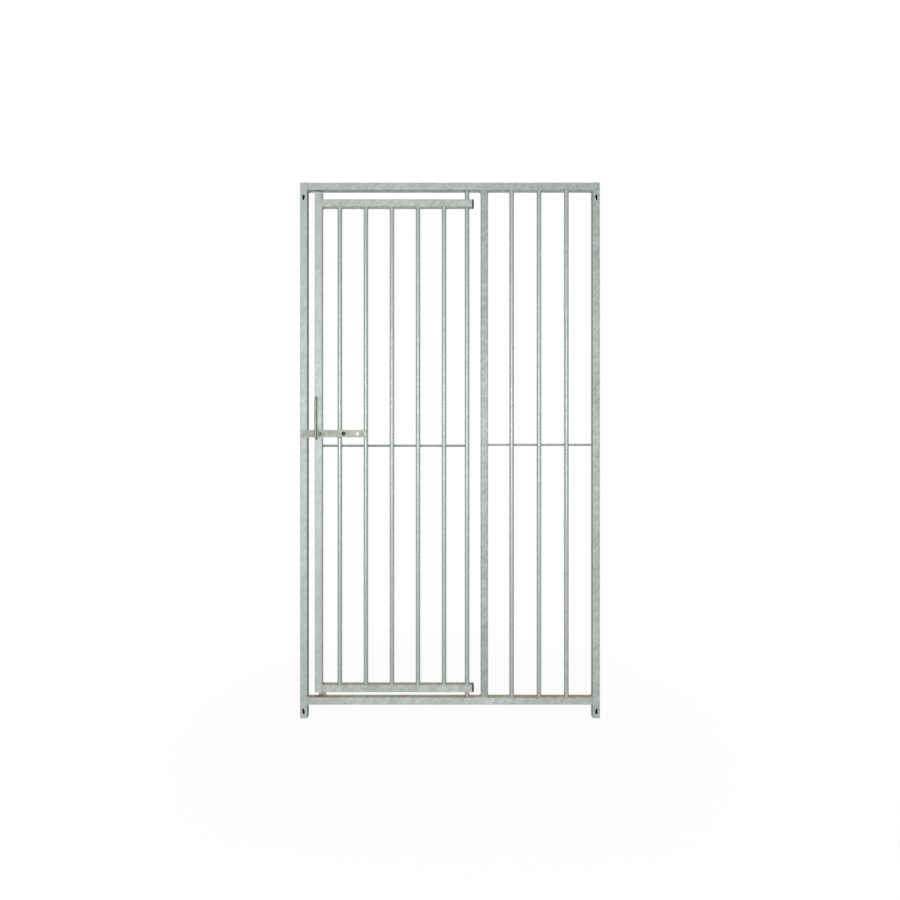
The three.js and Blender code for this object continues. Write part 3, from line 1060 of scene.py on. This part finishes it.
def bolt_profile():
    """The pivot bolt's outline from its domed head to its tip, as (place along Y, radius) steps."""
    low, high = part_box("latch_pivot_bolt")
    head = half_width("latch_pivot_bolt")
    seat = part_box("latch_washer")[0].y
    profile = [(low.y, 0.0)]
    for i in range(1, HEAD_STEPS + 1):
        turn = radians(90.0) * i / HEAD_STEPS
        profile.append((low.y + (seat - low.y - HEAD_RIM) * (1.0 - cos(turn)), head * sin(turn)))
    profile += [(seat - 0.0002, head), (seat - 0.00002, head - 0.0003), (seat, BOLT_RADIUS)]
    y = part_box("latch_back_plate")[1].y
    profile.append((y, BOLT_RADIUS))
    while y + THREAD_PITCH < high.y - 0.0006:
        profile += [(y + 0.0004, BOLT_RADIUS), (y + 0.0010, THREAD_ROOT_RADIUS)]
        y += THREAD_PITCH
        profile.append((y, BOLT_RADIUS))
    profile += [(high.y - 0.0005, BOLT_RADIUS), (high.y, BOLT_TIP_RADIUS), (high.y, 0.0)]
    return profile


class PanelStep:
    """What the panel's operators share."""

    bl_options = {"REGISTER", "UNDO"}


class KENNELPANEL_OT_tube_frame(PanelStep, Operator):
    """Posts, rails, mullion and door stop with eased edges and a zinc coat"""

    bl_idname = "kennel_panel.tube_frame"
    bl_label = "Tube frame"

    def execute(self, context):
        edge = context.scene.kennel_panel.tubes.edge
        for node in (*FRAME_TUBES, "door_stop"):
            finish = "zinc_bottom_rail" if node == "door_stop" else f"zinc_{node}"
            piece(f"{node}_zinc", eased_copy(node, edge), finish, "frame", "galvanised_steel", node)
        return {"FINISHED"}


class KENNELPANEL_OT_fixed_bars(PanelStep, Operator):
    """The three bars of the fixed section"""

    bl_idname = "kennel_panel.fixed_bars"
    bl_label = "Fixed bars"

    def execute(self, context):
        round_bars("fixed_bars", "frame", FIXED_BARS, context.scene.kennel_panel.bars)
        return {"FINISHED"}


class KENNELPANEL_OT_door_tubes(PanelStep, Operator):
    """The door's stile and its two rails"""

    bl_idname = "kennel_panel.door_tubes"
    bl_label = "Door tubes"

    def execute(self, context):
        edge = context.scene.kennel_panel.tubes.edge
        for node in DOOR_TUBES:
            finish = "zinc_door_rails" if node.endswith("_rail") else "zinc_stile"
            piece(f"{node}_zinc", eased_copy(node, edge), finish, "door", "galvanised_steel", node)
        return {"FINISHED"}


class KENNELPANEL_OT_door_bars(PanelStep, Operator):
    """The door's five bars, and the last one that it turns on"""

    bl_idname = "kennel_panel.door_bars"
    bl_label = "Door bars and hinge bar"

    def execute(self, context):
        round_bars("door_bars", "door", DOOR_BARS, context.scene.kennel_panel.bars)
        round_bars("hinge_bar_round", "door", ("hinge_bar",), context.scene.kennel_panel.bars)
        return {"FINISHED"}


class KENNELPANEL_OT_cross_rods(PanelStep, Operator):
    """The rods behind the bars, with a tack at every crossing"""

    bl_idname = "kennel_panel.cross_rods"
    bl_label = "Cross rods"

    def execute(self, context):
        sides = context.scene.kennel_panel.bars.sides // 2
        sets = (
            ("fixed_cross_rod", "frame", FIXED_BARS, "zinc_fixed_rod", 3),
            ("door_cross_rod", "door", (*DOOR_BARS, "hinge_bar"), "zinc_door_rod", 8),
        )
        for rod, body, bars, finish, seed in sets:
            cross_rod(f"{rod}_round", body, rod, finish, sides)
            touch_y = (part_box(bars[0])[1].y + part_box(rod)[0].y) / 2.0
            spots = []
            for bar in bars:
                crossing = Vector((middle(bar).x, touch_y, middle(rod).z))
                spots += [crossing - CROSSING_OFFSET, crossing + CROSSING_OFFSET]
            tack_welds(f"{rod}_tacks", body, spots, CROSSING_TACK, seed)
        return {"FINISHED"}


class KENNELPANEL_OT_welds(PanelStep, Operator):
    """Weld runs at every joint of the frame and the door"""

    bl_idname = "kennel_panel.welds"
    bl_label = "Welds"

    def execute(self, context):
        welds = context.scene.kennel_panel.welds
        weld_runs("frame_welds", "frame", frame_lines(welds), welds)
        weld_runs("door_welds", "door", door_lines(welds), welds)
        # Its finish is paled as a painted highlight.
        weld_runs("latch_plate_weld", "door", plate_end_lines(), welds, "zinc_weld_painted_highlight")
        low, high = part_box("latch_back_plate")
        spots = []
        for bar in DOOR_BARS[:2]:
            for z in (low.z + PLATE_INSET, high.z - PLATE_INSET):
                spots.append((middle(bar).x, high.y, z))
        tack_welds("latch_plate_tacks", "door", spots, PLATE_TACK, 5)
        return {"FINISHED"}


class KENNELPANEL_OT_rail_plugs(PanelStep, Operator):
    """Black plugs in the open ends of the door's rails"""

    bl_idname = "kennel_panel.rail_plugs"
    bl_label = "Rail plugs"

    def execute(self, context):
        edge = context.scene.kennel_panel.tubes.plug_edge
        for node in PLUGS:
            piece(f"{node}_black", eased_copy(node, edge), "moulded_black", "door", "black_plastic", node)
        return {"FINISHED"}


class KENNELPANEL_OT_latch(PanelStep, Operator):
    """Latch bar and its knob, the plate behind them and the staple that guides them"""

    bl_idname = "kennel_panel.latch"
    bl_label = "Bar latch"

    def execute(self, context):
        edge = context.scene.kennel_panel.tubes.edge
        sets = (
            ("latch_bar", "latch", edge, "zinc_latch"),
            ("latch_knob", "latch", edge, "zinc_knob"),
            ("latch_back_plate", "door", edge, "zinc_plate"),
            ("latch_staple", "door", edge * 0.6, "zinc_staple"),
        )
        for node, body, rounding, finish in sets:
            piece(f"{node}_zinc", eased_copy(node, rounding), finish, body, "galvanised_steel", node)
        return {"FINISHED"}


class KENNELPANEL_OT_pivot(PanelStep, Operator):
    """The latch's pivot bolt, washer and nut"""

    bl_idname = "kennel_panel.pivot"
    bl_label = "Pivot bolt"

    def execute(self, context):
        bolt = lathed(bolt_profile(), middle("latch_pivot_bolt"))
        sets = (
            ("latch_pivot_bolt", bolt, "bright_plating"),
            # The washer's darker plating is painted shade round the bolt head.
            ("latch_washer", eased_copy("latch_washer", 0.00015), "washer_plating_painted_shade"),
            ("latch_nut", eased_copy("latch_nut", 0.0005), "bright_plating"),
        )
        for node, mesh, finish in sets:
            piece(f"{node}_plated", mesh, finish, "door", "plated_steel", node)
        return {"FINISHED"}


# ---- Studio ----


def seen(board):
    """1 for what the camera sees, also in metal and through glass, and 0 for light on the panel."""
    path = board.node("ShaderNodeLightPath")
    return (path["Is Camera Ray"] + path["Is Glossy Ray"] + path["Is Transmission Ray"]).least(1.0)


def softbox(name, place, aim, size, power, colour, in_gloss):
    lamp = bpy.data.lights.new(name, "AREA")
    lamp.shape = "RECTANGLE"
    lamp.size, lamp.size_y = size
    lamp.energy = power
    lamp.color = colour
    holder = bpy.data.objects.new(name, lamp)
    holder.location = place
    holder.rotation_euler = (Vector(aim) - Vector(place)).to_track_quat("-Z", "Y").to_euler()
    holder.visible_camera = False
    holder.visible_glossy = in_gloss
    bpy.context.scene.collection.objects.link(holder)


def pale_floor():
    """Pale paint that keeps the panel's shadow near it and is white in the picture further away."""
    material, board = new_material("pale_floor")
    place = board.node("ShaderNodeTexCoord")["Object"]
    paint = board.mixed((0.91, 0.91, 0.91), (0.94, 0.94, 0.94), board.noise(place, 3.0, 2.0))
    lit = board.node("ShaderNodeBsdfDiffuse", {}, {"Color": paint})
    white = board.node("ShaderNodeEmission", {}, {"Color": WHITE, "Strength": 1.0})
    share = seen(board) * (0.93 + board.length(place).eased(0.6, 1.3) * 0.07)
    both = board.node("ShaderNodeMixShader", {}, {0: share, 1: lit[0], 2: white[0]})
    board.node("ShaderNodeOutputMaterial", {}, {"Surface": both[0]})
    return material


def surroundings(sky):
    """Even light of the given strength all round, white in the picture."""
    world = bpy.data.worlds.new("surroundings")
    world.use_nodes = True
    board = Board(world.node_tree)
    even = board.node("ShaderNodeBackground", {}, {"Color": (0.97, 0.985, 1.0, 1.0), "Strength": sky})
    white = board.node("ShaderNodeBackground", {}, {"Color": WHITE, "Strength": 1.0})
    both = board.node("ShaderNodeMixShader", {}, {0: seen(board), 1: even[0], 2: white[0]})
    board.node("ShaderNodeOutputWorld", {}, {"Surface": both[0]})
    return world


class KENNELPANEL_OT_studio(PanelStep, Operator):
    """Pale floor, soft lights, white surroundings and the camera"""

    bl_idname = "kennel_panel.studio"
    bl_label = "Studio"

    def execute(self, context):
        scene = context.scene
        studio = scene.kennel_panel.studio
        scene.view_settings.view_transform = "Standard"

        floor_mesh = bpy.data.meshes.new("floor")
        ways = ((-1, -1), (1, -1), (1, 1), (-1, 1))
        corners = [(x * FLOOR_REACH, y * FLOOR_REACH, FLOOR_HEIGHT) for x, y in ways]
        floor_mesh.from_pydata(corners, [], [(0, 1, 2, 3)])
        floor_mesh.materials.append(pale_floor())
        floor = bpy.data.objects.new("floor", floor_mesh)
        scene.collection.objects.link(floor)

        front = (0.0, 0.0, 0.95)
        foot = (0.0, 0.0, 0.0)
        softbox("key", (-0.30, -3.0, 1.25), front, (1.0, 1.0), studio.key, (1.0, 0.995, 0.985), True)
        softbox("low", (0.0, -1.5, 0.06), (0.0, 0.0, 1.7), (1.8, 0.5), studio.low, (1.0, 0.985, 0.96), False)
        softbox("top", (0.0, -0.5, 3.4), foot, (2.4, 2.4), studio.top, (1.0, 0.99, 0.975), False)
        softbox("back", (0.5, 3.0, 1.5), (0.0, 0.0, 0.9), (2.0, 2.0), studio.back, (0.985, 0.99, 1.0), False)
        scene.world = surroundings(studio.sky)

        lens = bpy.data.cameras.new("camera")
        lens.sensor_width = 36.0
        lens.lens = lens.sensor_width * studio.distance / studio.view
        camera = bpy.data.objects.new("camera", lens)
        camera.location = (0.0, -studio.distance, studio.eye)
        camera.rotation_euler = (radians(90.0), 0.0, 0.0)
        scene.collection.objects.link(camera)
        scene.camera = camera
        return {"FINISHED"}


STEPS = (
    KENNELPANEL_OT_tube_frame,
    KENNELPANEL_OT_fixed_bars,
    KENNELPANEL_OT_door_tubes,
    KENNELPANEL_OT_door_bars,
    KENNELPANEL_OT_cross_rods,
    KENNELPANEL_OT_welds,
    KENNELPANEL_OT_rail_plugs,
    KENNELPANEL_OT_latch,
    KENNELPANEL_OT_pivot,
    KENNELPANEL_OT_studio,
)


class KENNELPANEL_PT_sidebar(Panel):
    """Lists the panel's sizes and steps"""

    bl_idname = "KENNELPANEL_PT_sidebar"
    bl_label = "Kennel panel"
    bl_space_type = "VIEW_3D"
    bl_region_type = "UI"
    bl_category = "Kennel panel"

    def draw(self, context):
        settings = context.scene.kennel_panel
        for group in ("zinc", "tubes", "bars", "welds", "studio"):
            box = self.layout.box()
            box.label(text=group.capitalize())
            values = getattr(settings, group)
            for name in values.bl_rna.properties.keys():
                if name not in ("rna_type", "name"):
                    box.prop(values, name)
        for step in STEPS:
            self.layout.operator(step.bl_idname)


CLASSES = (
    KENNELPANEL_PG_zinc,
    KENNELPANEL_PG_tubes,
    KENNELPANEL_PG_bars,
    KENNELPANEL_PG_welds,
    KENNELPANEL_PG_studio,
    KENNELPANEL_PG_settings,
    *STEPS,
    KENNELPANEL_PT_sidebar,
)


def register():
    for item in CLASSES:
        bpy.utils.register_class(item)
    bpy.types.Scene.kennel_panel = PointerProperty(type=KENNELPANEL_PG_settings)


def unregister():
    del bpy.types.Scene.kennel_panel
    for item in reversed(CLASSES):
        bpy.utils.unregister_class(item)


def main():
    register()
    for step in STEPS:
        group, name = step.bl_idname.split(".")
        getattr(getattr(bpy.ops, group), name)()


if __name__ == "__main__":
    main()
